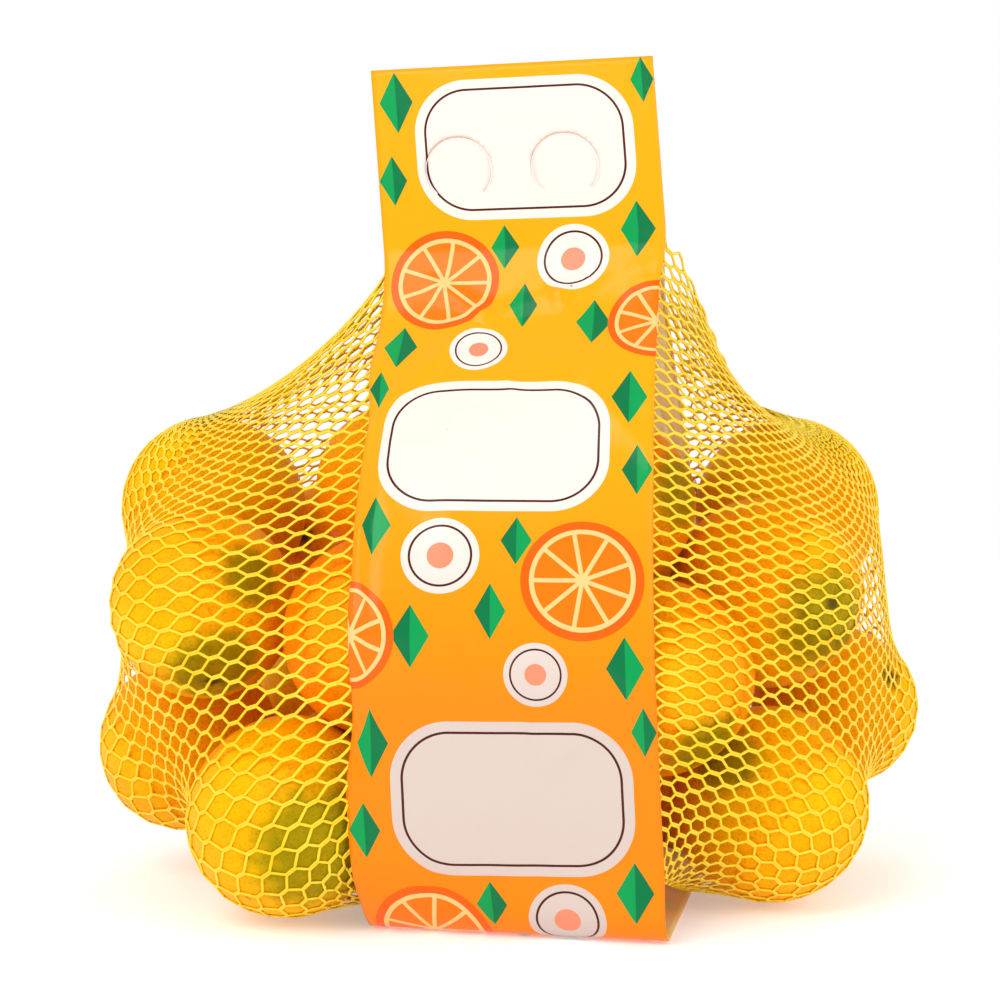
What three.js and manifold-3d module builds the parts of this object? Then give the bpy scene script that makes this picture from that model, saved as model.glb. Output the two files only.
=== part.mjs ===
// A net bag of oranges. A knotless tube of netting holds the fruit, and one printed film band
// carries it: the band is a flat header with two thumb flaps at the top, runs down the front,
// under the load and up the back, and closes again at the header.
// Millimetres, +Z up. The printed front faces -Y and the bag stands on z = 0.
import * as THREE from "three";
import { mergeVertices } from "three/addons/utils/BufferGeometryUtils.js";
import Module from "manifold-3d";

const wasm = await Module();
wasm.setup();

// ---- driving dimensions ----
const BAG_HEIGHT = 296;
const HEADER_FOOT = 230; // height at which the two film layers part
const HEADER_Y = -25;
const HEADER_THICKNESS = 2;
const HEADER_LAP = 4; // how far the header reaches down over the two layers' ends
const FILM_WIDTH = 98.5;
const FILM_THICKNESS = 0.8;
const FILM_FOOT_X = 21.5; // where the band's centre line meets the ground
const FILM_LEAN = 0.0385; // sideways run of that line for each millimetre of height
const FRONT_TWIST = 0.165; // the fruit pushes the front film's left edge forward
const FLAP_RADIUS = 11.5;
const FLAP_SPACING = 37;
const FLAP_SHIFT = -2; // the pair is punched a little left of the middle
const FLAP_HEIGHT = 259;
const FLAP_ARC = THREE.MathUtils.degToRad(270); // cut round the top, hinged at the bottom
const SLIT_WIDTH = 0.6;
const GAP = 0.4; // between the band and the netting
const NET_THICKNESS = 1.8;
const NET_TOP = 224.5;
const GATHER_RADIUS = 3.5; // the netting's end, gathered at each lower corner of the header

// Fruit that shows: x, y, z of the centre and the radius.
const SHOWN_ORANGES = [
  [-114, 7.5, 138, 35],
  [-96, -49, 105, 32.5],
  [-119, -5.5, 50.5, 33],
  [-57, -70, 36, 34],
  [-26.5, -61.5, 96.5, 34],
  [-33, -13, 145.5, 31.5],
  [101, 67, 138, 35.5],
  [96.5, 4.5, 108.5, 34.5],
  [61.5, -46, 82, 34],
  [119.5, 65.5, 61.5, 31.5],
  [98.5, -12, 36, 34],
  [45, -18.5, 140, 29.5],
  [16.5, -49.5, 34, 32],
];
// Fruit behind it, placed roughly; settle() finds where each one lies.
const HIDDEN_ORANGES = [
  [-55, 5, 34, 32],
  [23, 18, 34, 33],
  [69, 55, 34, 32],
  [-23, 67, 34, 32],
  [-76, 52, 80, 33],
  [-18, 5, 87, 33],
  [37, 37, 92, 33],
  [-18, 64, 101, 31],
  [-80, 60, 146, 33],
];
const SETTLE_STEPS = 200;
const SETTLE_DROP = 0.3;

// The band's side view as y, z points of its middle surface: front, ground and back.
const BAND_PROFILE = [
  [-25.55, 230], [-27.2, 221], [-35, 204], [-51.5, 184], [-68, 158], [-81, 129], [-89, 92],
  [-88.5, 64], [-86.5, 36], [-83, 17], [-79.5, 6.5], [-75, 1.6], [-68, 0.4], [-50, 0.4],
  [64, 0.4], [78, 0.4], [85.5, 1.6], [93, 6.5], [99, 16.5], [104, 35], [104.5, 69], [101, 99.5],
  [89, 120], [50.5, 156.5], [12, 193], [-13, 216], [-21.7, 225], [-24.45, 230],
];
const BAND_SAMPLES = 110;
const BAND_STEPS = 8;

const END_SEGMENTS = 22;
const FILM_SEGMENTS = 5;
const LOW_LEVELS = [0, 1.6, 3.5, 6, 9, 13, 18, 24];
const LEVEL_STEP = 5;
const SIDE_PULL = 0.62; // share of the netting's tension that runs round the bag
const WAIST_DRAW = 0.2; // how far each step draws the netting in between fruit
const NECK_DRAW = [-0.12, 0.2]; // and above the fruit, where folds hold the left end out
const NECK_HEIGHTS = [125, 185]; // between which the one passes into the other
const STRETCH_STEPS = 400;

// ---- shared forms ----
const bandShift = (z) => FILM_FOOT_X - FILM_LEAN * z;

function frontTwist(z) {
  const { smoothstep } = THREE.MathUtils;
  return FRONT_TWIST * smoothstep(z, 0, 28) * (1 - smoothstep(z, 130, 202));
}

/** Points down the front, along the ground and up the back, moved outward by a distance. */
function bandLine(outward) {
  const knots = BAND_PROFILE.map(([y, z]) => new THREE.Vector3(y, z, 0));
  const curve = new THREE.CatmullRomCurve3(knots, false, "centripetal");
  return Array.from({ length: BAND_SAMPLES + 1 }, (_, i) => {
    const point = curve.getPoint(i / BAND_SAMPLES);
    const along = curve.getTangent(i / BAND_SAMPLES);
    const height = Math.max(point.y - along.x * outward, 0);
    return new THREE.Vector2(point.x + along.y * outward, height);
  });
}

/** y of a band line at a height: side 0 is the front and side 1 the back. */
function lineY(line, side, z) {
  const middle = Math.floor(line.length / 2);
  const half = side === 0 ? line.slice(0, middle) : line.slice(middle).reverse();
  const next = half.findIndex((point) => point.y <= z);
  if (next < 1) return half.at(next).x;
  const [above, below] = [half[next - 1], half[next]];
  return THREE.MathUtils.mapLinear(z, below.y, above.y, below.x, above.x);
}

const EDGE_OFFSET = FILM_WIDTH / 2 + GAP; // where the netting comes out beside the band
const frontY = (line, x, z) => lineY(line, 0, z) + frontTwist(z) * x;

/** Lets the hidden fruit sink and pushes it clear of its neighbours. */
function settle(shown, hidden) {
  const all = [...shown, ...hidden].map(([x, y, z, radius]) => ({
    centre: new THREE.Vector3(x, y, z),
    radius,
  }));
  for (let step = 0; step < SETTLE_STEPS; step++) {
    const drop = SETTLE_DROP * (1 - step / SETTLE_STEPS);
    for (const orange of all.slice(shown.length)) orange.centre.z -= drop;
    for (let i = 0; i < all.length; i++) {
      for (let j = Math.max(i + 1, shown.length); j < all.length; j++) {
        const apart = all[j].centre.clone().sub(all[i].centre);
        const overlap = all[i].radius + all[j].radius - apart.length();
        if (overlap <= 0) continue;
        const share = i < shown.length ? 0 : 0.5;
        apart.setLength(overlap);
        all[i].centre.addScaledVector(apart, -share);
        all[j].centre.addScaledVector(apart, 1 - share);
      }
    }
    for (const orange of all.slice(shown.length)) {
      orange.centre.z = Math.max(orange.centre.z, orange.radius + NET_THICKNESS);
    }
  }
  return all;
}

// ---- manifold helpers ----
function toSolid(geometry) {
  geometry.deleteAttribute("normal");
  geometry.deleteAttribute("uv");
  const merged = mergeVertices(geometry, 1e-5);
  return new wasm.Manifold(new wasm.Mesh({
    numProp: 3,
    vertProperties: new Float32Array(merged.attributes.position.array),
    triVerts: new Uint32Array(merged.index.array),
  }));
}

function toGeometry(solid) {
  const mesh = solid.getMesh();
  const geometry = new THREE.BufferGeometry();
  geometry.setAttribute("position", new THREE.BufferAttribute(mesh.vertProperties, 3));
  geometry.setIndex(new THREE.BufferAttribute(mesh.triVerts, 1));
  geometry.computeVertexNormals();
  return geometry;
}

// ---- film band ----
/** Extrudes a y-z outline across the band, leans it with the centre line and twists the front. */
function acrossBand(outline, steps) {
  const extruded = new THREE.ExtrudeGeometry(new THREE.Shape(outline), {
    depth: FILM_WIDTH,
    steps,
    bevelEnabled: false,
  });
  const position = extruded.attributes.position;
  for (let i = 0; i < position.count; i++) {
    const [y, z] = [position.getX(i), position.getY(i)];
    const x = position.getZ(i) - FILM_WIDTH / 2;
    const twist = y < 0 ? frontTwist(z) * x : 0;
    position.setXYZ(i, x + bandShift(z), y + twist, z);
  }
  return toSolid(extruded);
}

/** The C-shaped cut through the header that frees one thumb flap. */
function flapSlit(x) {
  const shape = new THREE.Shape();
  const start = Math.PI / 2 - FLAP_ARC / 2;
  const end = Math.PI / 2 + FLAP_ARC / 2;
  shape.absarc(0, 0, FLAP_RADIUS + SLIT_WIDTH / 2, start, end, false);
  shape.absarc(0, 0, FLAP_RADIUS - SLIT_WIDTH / 2, end, start, true);
  const cut = new THREE.ExtrudeGeometry(shape, {
    depth: 3 * HEADER_THICKNESS,
    curveSegments: 24,
    bevelEnabled: false,
  });
  cut.rotateX(Math.PI / 2);
  cut.translate(x + bandShift(FLAP_HEIGHT), HEADER_Y + 1.5 * HEADER_THICKNESS, FLAP_HEIGHT);
  return toSolid(cut);
}

function filmBand() {
  const half = FILM_THICKNESS / 2;
  const outline = [...bandLine(half), ...bandLine(-half).reverse()];
  const loop = acrossBand(outline, BAND_STEPS);
  const [near, far] = [HEADER_Y - HEADER_THICKNESS / 2, HEADER_Y + HEADER_THICKNESS / 2];
  const foot = HEADER_FOOT - HEADER_LAP;
  const corners = [[near, foot], [far, foot], [far, BAG_HEIGHT], [near, BAG_HEIGHT]];
  const header = acrossBand(corners.map(([y, z]) => new THREE.Vector2(y, z)), 1);
  const slits = [-0.5, 0.5].map((side) => flapSlit(FLAP_SHIFT + side * FLAP_SPACING));
  return toGeometry(loop.add(header).subtract(slits[0]).subtract(slits[1]));
}

// ---- net bag ----
/** How far a level ray from an origin reaches through the fruit, or 0 where it meets none. */
function reach(oranges, origin, direction, slack) {
  let far = 0;
  for (const { centre, radius } of oranges) {
    const toCentre = centre.clone().sub(origin);
    const along = toCentre.dot(direction);
    const offSquared = toCentre.lengthSq() - along * along;
    const room = (radius + slack) ** 2 - offSquared;
    if (room > 0) far = Math.max(far, along + Math.sqrt(room));
  }
  return far;
}

function drawIn(side, z) {
  const { lerp, smoothstep } = THREE.MathUtils;
  return lerp(WAIST_DRAW, NECK_DRAW[side < 0 ? 0 : 1], smoothstep(z, ...NECK_HEIGHTS));
}

/** One end of the bag: netting stretched over the fruit between the band's two edges. */
function stretchedEnd(side, levels, oranges, outer) {
  const directions = Array.from({ length: END_SEGMENTS + 1 }, (_, i) => {
    const angle = (Math.PI * i) / END_SEGMENTS;
    return new THREE.Vector3(side * Math.sin(angle), -Math.cos(angle), 0);
  });
  const last = levels.length - 1;
  const origins = levels.map((z) => {
    const [front, back] = [frontY(outer, side * EDGE_OFFSET, z), lineY(outer, 1, z)];
    return new THREE.Vector3(bandShift(z) + side * EDGE_OFFSET, (front + back) / 2, z);
  });
  const least = levels.map((z, j) => directions.map((direction) => {
    const slack = j === 0 ? 2 * NET_THICKNESS : NET_THICKNESS;
    return reach(oranges, origins[j], direction, slack);
  }));
  const radii = levels.map((z, j) => directions.map((_, i) => {
    if (i === 0) return origins[j].y - frontY(outer, side * EDGE_OFFSET, z);
    if (i === END_SEGMENTS) return lineY(outer, 1, z) - origins[j].y;
    return j === last ? GATHER_RADIUS : Math.max(least[j][i], GATHER_RADIUS);
  }));
  const at = (i, j) => origins[j].clone().addScaledVector(directions[i], radii[j][i]);
  for (let step = 0; step < STRETCH_STEPS; step++) {
    for (let j = 0; j < last; j++) {
      for (let i = 1; i < END_SEGMENTS; i++) {
        const middle = at(i - 1, j).add(at(i + 1, j)).multiplyScalar(0.5);
        if (j > 0) middle.lerp(at(i, j - 1).add(at(i, j + 1)).multiplyScalar(0.5), 1 - SIDE_PULL);
        const drawn = middle.sub(origins[j]).dot(directions[i]) - drawIn(side, levels[j]);
        radii[j][i] = Math.max(drawn, least[j][i]);
      }
    }
  }
  return levels.map((_, j) => directions.map((_, i) => at(i, j)));
}

/** The bag without the band: closed rings of points from the ground to the gathered top. */
function netBag() {
  const oranges = settle(SHOWN_ORANGES, HIDDEN_ORANGES);
  const outer = bandLine(FILM_THICKNESS / 2);
  const inner = bandLine(-FILM_THICKNESS / 2 - GAP);
  const lowest = LOW_LEVELS.at(-1);
  const rows = Math.round((NET_TOP - lowest) / LEVEL_STEP);
  const levels = [
    ...LOW_LEVELS,
    ...Array.from({ length: rows }, (_, i) => lowest + ((NET_TOP - lowest) * (i + 1)) / rows),
  ];
  const [left, right] = [-1, 1].map((side) => stretchedEnd(side, levels, oranges, outer));
  const across = Array.from({ length: FILM_SEGMENTS + 1 }, (_, i) =>
    EDGE_OFFSET * ((2 * i) / FILM_SEGMENTS - 1));
  const underFilm = FILM_THICKNESS + GAP;
  const rings = levels.map((level, j) => {
    const z = level + underFilm * Math.max(0, 1 - level / lowest);
    const front = across.map((x) =>
      new THREE.Vector3(x + bandShift(z), frontY(inner, x, z), z));
    const back = across.map((x) => new THREE.Vector3(x + bandShift(z), lineY(inner, 1, z), z));
    return [...front, ...right[j], ...back.reverse(), ...left[j].slice().reverse()];
  });
  return closedRings(rings);
}

/** Joins rings of points into one closed mesh, with a stepped floor and a flat top. */
function closedRings(rings) {
  const count = rings[0].length;
  const vertices = rings.flat();
  const index = [];
  const quad = (a, b, c, d) => index.push(a, b, c, a, c, d);
  for (let j = 0; j + 1 < rings.length; j++) {
    const [low, high] = [j * count, (j + 1) * count];
    for (let i = 0; i < count; i++) {
      const next = (i + 1) % count;
      quad(low + i, low + next, high + next, high + i);
    }
  }
  const cap = (corners, faceUp) => {
    const flat = corners.map((k) => new THREE.Vector2(vertices[k].x, vertices[k].y));
    for (const [a, b, c] of THREE.ShapeUtils.triangulateShape(flat, [])) {
      const turned = faceUp ? [a, b, c] : [a, c, b];
      index.push(...turned.map((k) => corners[k]));
    }
  };
  const run = (from, length) => Array.from({ length }, (_, i) => from + i);
  const film = FILM_SEGMENTS + 1;
  const end = END_SEGMENTS + 1;
  const [rightEnd, back, leftEnd] = [film, film + end, 2 * film + end];
  cap(run((rings.length - 1) * count, count), true);
  cap([...run(0, film), ...run(back, film)], false);
  cap(run(rightEnd, end), false);
  cap(run(leftEnd, end), false);
  // The two steps in the floor beside the band.
  quad(film - 1, back, back - 1, rightEnd);
  quad(leftEnd - 1, 0, count - 1, leftEnd);
  const geometry = new THREE.BufferGeometry().setFromPoints(vertices);
  geometry.setIndex(index);
  geometry.computeVertexNormals();
  return geometry;
}

// ---- assembly ----
function piece(name, geometry, settings) {
  const mesh = new THREE.Mesh(geometry, new THREE.MeshStandardMaterial(settings));
  mesh.name = name;
  return mesh;
}

const bag = new THREE.Group();
bag.add(
  piece("net_bag", netBag(), { color: 0xffb81c, roughness: 0.55, metalness: 0 }),
  piece("film_band", filmBand(), { color: 0xffb400, roughness: 0.25, metalness: 0 }),
);

export default bag;
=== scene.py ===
"""A net bag of oranges: whole fruit in knotless yellow netting, carried by one printed film band.

Shapes are worked out in millimetres in the bag's own frame: +Z up, the band's front towards -Y.
"""

import math

import bpy
import numpy as np
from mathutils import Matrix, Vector, noise
from mathutils.geometry import delaunay_2d_cdt


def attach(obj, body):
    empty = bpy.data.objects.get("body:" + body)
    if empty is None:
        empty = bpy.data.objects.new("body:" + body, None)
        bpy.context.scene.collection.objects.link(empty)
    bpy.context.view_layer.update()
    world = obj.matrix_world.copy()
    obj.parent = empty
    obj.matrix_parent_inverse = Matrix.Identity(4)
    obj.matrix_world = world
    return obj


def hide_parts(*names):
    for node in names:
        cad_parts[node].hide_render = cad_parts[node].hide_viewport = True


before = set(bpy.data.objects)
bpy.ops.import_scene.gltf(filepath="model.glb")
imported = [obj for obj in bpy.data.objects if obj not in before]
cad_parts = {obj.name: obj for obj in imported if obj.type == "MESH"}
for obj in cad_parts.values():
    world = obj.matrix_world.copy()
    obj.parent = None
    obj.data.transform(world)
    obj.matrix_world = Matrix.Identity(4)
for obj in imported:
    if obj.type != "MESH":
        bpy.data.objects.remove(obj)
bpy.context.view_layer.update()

MM = 0.001
rng = np.random.default_rng(21)

# ---- film band ----
BAG_HEIGHT = 296
HEADER_FOOT = 230  # height at which the two layers part
HEADER_Y = -25
LAYER_GAP = 0.25  # from the header's middle to each welded layer
FILM_WIDTH = 98.5
FILM_THICKNESS = 0.22
FILM_FLOOR = 0.27  # how far over the ground the film under the load lies at least
FILM_FOOT_X = 21.5  # where the band's centre line meets the ground
FILM_LEAN = 0.0385  # sideways run of that line for each millimetre of height
HEADER_BLEND = (212, 238)  # heights between which the band passes into the flat header
HEADER_FLARE = 0.0325  # how much wider the header is than the band round the load
HEADER_LEAN = 0.038  # and how much more it leans, turned about the height HEADER_PIVOT
HEADER_PIVOT = 264
FRONT_TWIST = 0.165  # the fruit pushes the front film's left edge forward
TWIST_HEIGHTS = (0, 28, 130, 202)  # where that begins, is full, fades and is gone
FLAP_RADIUS = 11.5
FLAP_SPACING = 37
FLAP_SHIFT = -2  # the pair is punched a little left of the middle
FLAP_HEIGHT = 259
FLAP_ARC = math.radians(270)  # cut round the top, hinged at the bottom
FLAP_HINGE = 0.7  # how far under its middle a flap is hinged, as a share of its radius
FLAP_AJAR = math.radians(2.5)
SLIT_WIDTH = 0.5
SLIT_POINTS = 61
SLIT_CLEAR = 0.9  # the film's grid keeps this far from a slit's middle
CUT_TOLERANCE = 1e-4
FILM_GRID = 2.0
LINE_STEPS = 60  # between two points of the band's side view
FILM_ROOM = 1.5  # room for the netting between the fruit and the film
FILM_REACH = 14  # a fruit further out than this isn't behind the film but beside it
FREE_ROWS = 8  # rows of the grid over which the film below the header comes free
FOOT_BLEND = (1.5, 12)  # heights over which it comes free of the ground
BRIDGE_STEPS = 60
BRIDGE_HOLD = 0.985  # how flat the film spans from one fruit to the next
BRIDGE_FREE = 1.5  # how much sooner that comes free than the fruit pushes the film out
CRUMPLE_FOLD = (0.022, 0.013, 0.9)  # folds for each millimetre across and down, and their height
CRUMPLE_RIPPLE = (0.09, 0.05, 0.35)  # and the same for the finer ripples
CRUMPLE_WARP = (0.4, 0.9)  # how far the folds wander across and down, in folds
CRUMPLE_LAYERS = (3.1, 8.2)  # of the noise, for the folds and for the ripples
CRUMPLE_HELD = 0.18  # share of the crumples left in the welded header and under the load
EDGE_ROLL = (2.6, 3.5)  # the front film's left edge rolls in and back over the fruit beside it
ROLL_WIDTH = 13.25
ROLL_CURVE = 1.5  # over 1, the roll is tighter at the very edge
ROLL_HEIGHTS = (45, 75, 165, 190)  # where that begins, is full, fades and is gone
# The film's baking sheet has the band in strips side by side, its printed side below its other
# one. Each side's strips have a start up the sheet and a length.
STRIPS = 3
STRIP_MARGIN = 0.04
PRINTED_STRIP = (0.015, 0.70)
INSIDE_STRIP = (0.75, 0.23)
SHEET_MARGIN = 0.01  # round the other pieces' sheets
# Sharp folds in the front film: from x and depth below the header's top, to x and depth, height.
FILM_CREASES = [
    (-50, 64, -12, 92, 1.3), (50, 62, 14, 84, 1.2), (-12, 92, -38, 128, 0.9), (14, 84, 30, 132, 0.9),
    (-12, 92, 14, 84, 0.7), (-50, 214, 50, 210, 0.5), (30, 132, 50, 150, 0.7),
    (-38, 128, -50, 150, 0.7), (18, 250, 50, 238, 0.6), (-30, 272, -50, 258, 0.6),
]
CREASE_WIDTH = 5.0  # how far each side of a fold slopes away
# The band's side view as y, z points: front, ground and back.
BAND_PROFILE = [
    (-27.2, 221), (-35, 204), (-51.5, 184), (-68, 158), (-81, 129), (-89, 92), (-88.5, 64),
    (-86.5, 36), (-83, 17), (-79.5, 6.5), (-75, 1.6), (-68, 0.4), (-50, 0.4), (64, 0.4),
    (78, 0.4), (85.5, 1.6), (93, 6.5), (99, 16.5), (104, 35), (104.5, 69), (101, 99.5),
    (89, 120), (50.5, 156.5), (12, 193), (-13, 216), (-21.7, 225),
]

# ---- fruit: x, y, z of the centre and the mean radius ----
# The film covers the last one of these. They keep their places, and the hidden ones settle.
SHOWN_ORANGES = [
    (-114, 7.5, 138, 35), (-96, -49, 105, 32.5), (-119, -5.5, 50.5, 33), (-57, -70, 36, 34),
    (-26.5, -61.5, 96.5, 34), (-33, -13, 145.5, 31.5), (101, 67, 138, 35.5),
    (96.5, 4.5, 108.5, 34.5), (61.5, -46, 82, 34), (119.5, 65.5, 61.5, 31.5),
    (98.5, -12, 36, 34), (45, -18.5, 140, 29.5), (16.5, -49.5, 34, 32),
]
HIDDEN_ORANGES = [
    (-55, 5, 34, 32), (23, 18, 34, 33), (69, 55, 34, 32), (-23, 67, 34, 32),
    (-76, 52, 80, 33), (-18, 5, 87, 33), (37, 37, 92, 33), (-18, 64, 101, 31),
    (-80, 60, 146, 33),
]
SETTLE_STEPS = 200
SETTLE_DROP = 0.3  # how far the hidden fruit sinks in the first step
FLOOR_ROOM = 1.8  # between the lowest fruit and the ground, for netting and film
STRETCH = 1.045  # how much longer a fruit is than it would be as a ball
STRETCH_SPREAD = 0.025
WAVES = 5  # slow waves that make a fruit uneven
WAVE_TURNS = (2, 4)  # how quickly they follow each other
WAVE_HEIGHT = 0.0035  # as a share of the radius
STEM_DIMPLE = (1.5, 10)  # depth, and width in degrees
FLOWER_DIMPLE = (0.5, 4.5)  # and the same at the other end, where the flower was
ORANGE_RINGS = 40
ORANGE_SEGMENTS = 56
OFF_AXIS = (0.3, 0.5, 0.81)  # a direction that no fruit's own axis has
RING_GATHER = (0.35, 2.2)  # share of the rings drawn to the stem end, and how sharply
STEM_CAP = 3.0  # radius of the dry star where the stalk was
STAR_POINTS = 5
STAR_DEPTH = 0.28  # how far its points stand out, as a share of its radius
STAR_EDGE = (0.75, 1.05)  # it fades between these shares of its radius
STAR_HEIGHT = 0.9
STAR_DARKNESS = 0.85
STALK_SCAR = (0.7, 0.5, 1.3)  # depth of the hole in the star, and the radii of its slope
STEM_SHADE = (0.75, 3, 8)  # how green the peel is round it, and the radii where that fades
PATCH_EDGE = (0.35, 1.25)  # an olive patch fades between these shares of its width; it is unripe peel on some fruit and painted shade on others
RIPENESS_RANGE = (-0.12, 0.28)  # of the hidden fruit
# Ripeness of the other fruit, from gold at -0.2 to deep orange at 0.5.
RIPENESS = [-0.02, 0.04, 0.14, 0.06, 0.5, 0.26, -0.04, 0.12, 0.28, 0.02, 0.04, 0.35, 0.1]
# Stem ends, and olive patches with their width in degrees, by the fruit's place in the list. The
# patches on 1, 3, 8 and 11 are painted shade on the fruit's shaded sides; the others are olive peel.
# A direction is across, up and towards the viewer of the band's front.
STEM_ENDS = {7: (0.55, -0.06, 0.83), 9: (0.54, 0.42, 0.73)}
UNRIPE_AND_SHADE_PATCHES = {
    1: [((0.25, -0.65, 0.72), 36), ((0.62, 0.35, 0.70), 26)],
    3: [((0.40, -0.22, 0.89), 50)],
    7: [((0.50, -0.25, 0.83), 42)],
    8: [((0.50, -0.62, 0.60), 30)],
    10: [((-0.50, 0.55, 0.67), 26)],
    11: [((0.75, 0.15, 0.6), 34)],
    12: [((0.80, 0.50, 0.33), 34)],
}

# ---- netting: where its two ends differ, -1 is the left one and 1 the right one ----
COLUMNS = {-1: 44, 1: 42}  # meshes from the front film edge round to the back one, on each end
ROWS = {-1: 41, 1: 45}  # meshes from the header down to the ground
STRAND = 3.65  # single strand between two joints
JOINT = 4.0  # where two strands are knitted together
BUNCHED_JOINT = 0.35  # share of its row's pitch that a joint takes where the netting is bunched
# The panel's outer fold before it is stretched, from its top corner to the ground.
FOLDS = {
    -1: [(-112, 8, 176), (-160, 8, 140), (-175, 5, 95), (-165, -5, 50), (-115, -15, 8)],
    1: [(85, 67, 179), (150, 62, 155), (172, 55, 115), (172, 48, 70), (115, 30, 8)],
}
# The hollow line that the neck hangs in, as heights and distances across from the bag's axis.
NECK_LINE = {
    -1: [(149.5, 143), (157, 138.5), (165, 131), (172.5, 119), (180, 98), (195, 73.5), (208, 54),
         (221.5, 42)],
    1: [(170, 130), (176, 109), (179, 95.5), (184, 91), (213, 72.5), (231, 61.5)],
}
# How firmly the first rows of the outer fold stay where it begins, row by row.
CORNER_HOLD = {-1: (0.3,), 1: (1.0, 0.5)}
TOP_HOLD = {-1: 0.0, 1: 0.9}  # how firmly the top seam keeps straight, gathered on a line
PULL_START = 0.4  # how hard the netting draws in at first, and once it lies on the fruit
PULL_END = 0.22
UPRIGHT_PULL = {-1: 0.55, 1: 0.35}  # share of the tension that runs up and down the bag
SEAM_PULL = {-1: 0.3, 1: 0.1}  # and along the sewn top, on each end
STRAND_PULL = 0.9  # how firmly a strand that is too long draws its two joints together
SLACK_PUSH = 0.02  # and how little one that is slack pushes them apart
NECK_PULL = 0.6  # how firmly the neck is drawn in to its line
YARN_WIDTH = 1.05
YARN_THICKNESS = 0.8
YARN_SIDES = 6
YARN_APART = 0.25  # from a joint's middle to each of its two yarns
STITCH = 1.1  # length of a chain stitch as it is drawn
EDGE_WELD = 2.0  # the netting's edge lies this far under the film
WELD_DEPTH = 0.6  # and this far behind its inner face
START_ROOM = 3  # between the fruit and the netting before it is stretched
START_SHAPE = (0.6, 0.9)  # how square the panel is then, seen from above, out and along the film
SEAM_SPREAD = {-1: 1.0, 1: 1.5}  # over 1, the middle meshes are gathered at the corner
SEAM_TAIL = (0.93, 0.07)  # from where along the seam, and over how much of it
HEADER_LAP = {-1: 0, 1: 2}  # rows of the header that the netting's top corner reaches between
SEAM_LEAD = {-1: 0, 1: 4}  # how far the top seam runs level before it slants away
NET_FOOT = {-1: 9, 1: 21.5}  # height at which the netting leaves the film for the ground
NET_BASE = (-5, 20)  # y where it reaches the film under the load, and leaves it again
BASE_LEVEL = 3  # the film lower than this lies on the ground
NET_STEPS = 500
PULL_EASE = 0.6  # share of the steps over which the pull eases
STRAND_EASE = 0.4  # share of the strands' pull that a joint follows in a step
SINK = 0.35  # the yarn presses this far into the peel
JOINT_ROOM = 0.25  # joints keep this far over the strands between them
GROUND_ROOM = 0.1  # between the yarn and the ground
UNEVEN_ROOM = 3  # an uneven fruit reaches less than this beyond its half length
BEND_REACH = 1.1  # how far a yarn's bend reaches into the shorter run beside it
STRAND_STEPS = 2  # stretches of tube in a strand, next to one in a joint
YARN_MARGIN = 0.1  # between two yarns on the baking sheet, as a share of a yarn's strip

# ---- light and camera ----
ROOM_LIGHT = 0.82  # the room's white light, next to 1 for the backdrop
# Softboxes by name: place, size and power. Both face the middle of the load.
SOFTBOXES = {
    "key_softbox": ((-350, -900, 900), 700, 5.8),
    "fill_softbox": ((900, -500, 500), 600, 2.4),
}
LOAD_MIDDLE = (0, 0, 110)
TABLE_HALF = 4000
VIEW_TURN = math.radians(12)  # the camera stands this far round to the right of the front
VIEW_DISTANCE = 616.4
VIEW_AXIS = (5.5, -25.0)  # x, y of the upright line that it looks at
VIEW_HEIGHT = 141.7
LENS = 62.7
SENSOR_WIDTH = 36

# Directions as the camera sees the bag.
ACROSS = np.array([math.cos(VIEW_TURN), math.sin(VIEW_TURN), 0])
TOWARDS = np.array([math.sin(VIEW_TURN), -math.cos(VIEW_TURN), 0])
UP = np.array([0.0, 0.0, 1.0])


# ---------------------------------------------------------------- materials
def colour(hex_code):
    """An sRGB hex code as linear red, green and blue, with full alpha."""
    parts = [int(hex_code[i:i + 2], 16) / 255 for i in (1, 3, 5)]
    linear = [p / 12.92 if p <= 0.04045 else ((p + 0.055) / 1.055) ** 2.4 for p in parts]
    return (*linear, 1.0)


def scale_of(size):
    """A pattern's scale from the real size in millimetres of what repeats in it."""
    return 1 / (size * MM)


def add(tree, kind, inputs, stops=(), **settings):
    """Adds a shader node with its settings and links. An input, by name or number, gets a value, a
    socket or a node, of which it takes the first output. A ramp's stops are places and hex codes."""
    node = tree.nodes.new("ShaderNode" + kind)
    for name, value in settings.items():
        setattr(node, name, value)
    for number, (place, hex_code) in enumerate(stops):
        node.color_ramp.elements[number].position = place
        node.color_ramp.elements[number].color = colour(hex_code)
    for key, value in inputs.items():
        if isinstance(value, bpy.types.Node):
            value = value.outputs[0]
        if isinstance(value, bpy.types.NodeSocket):
            tree.links.new(value, node.inputs[key])
        else:
            node.inputs[key].default_value = value
    return node


def new_material(name):
    """An empty material and its node tree."""
    material = bpy.data.materials.new(name)
    material.use_nodes = True
    material.node_tree.nodes.clear()
    return material, material.node_tree


def finish_material(tree, inputs):
    """Ends a material in one principled surface."""
    surface = add(tree, "BsdfPrincipled", inputs)
    add(tree, "OutputMaterial", {"Surface": surface})


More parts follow.
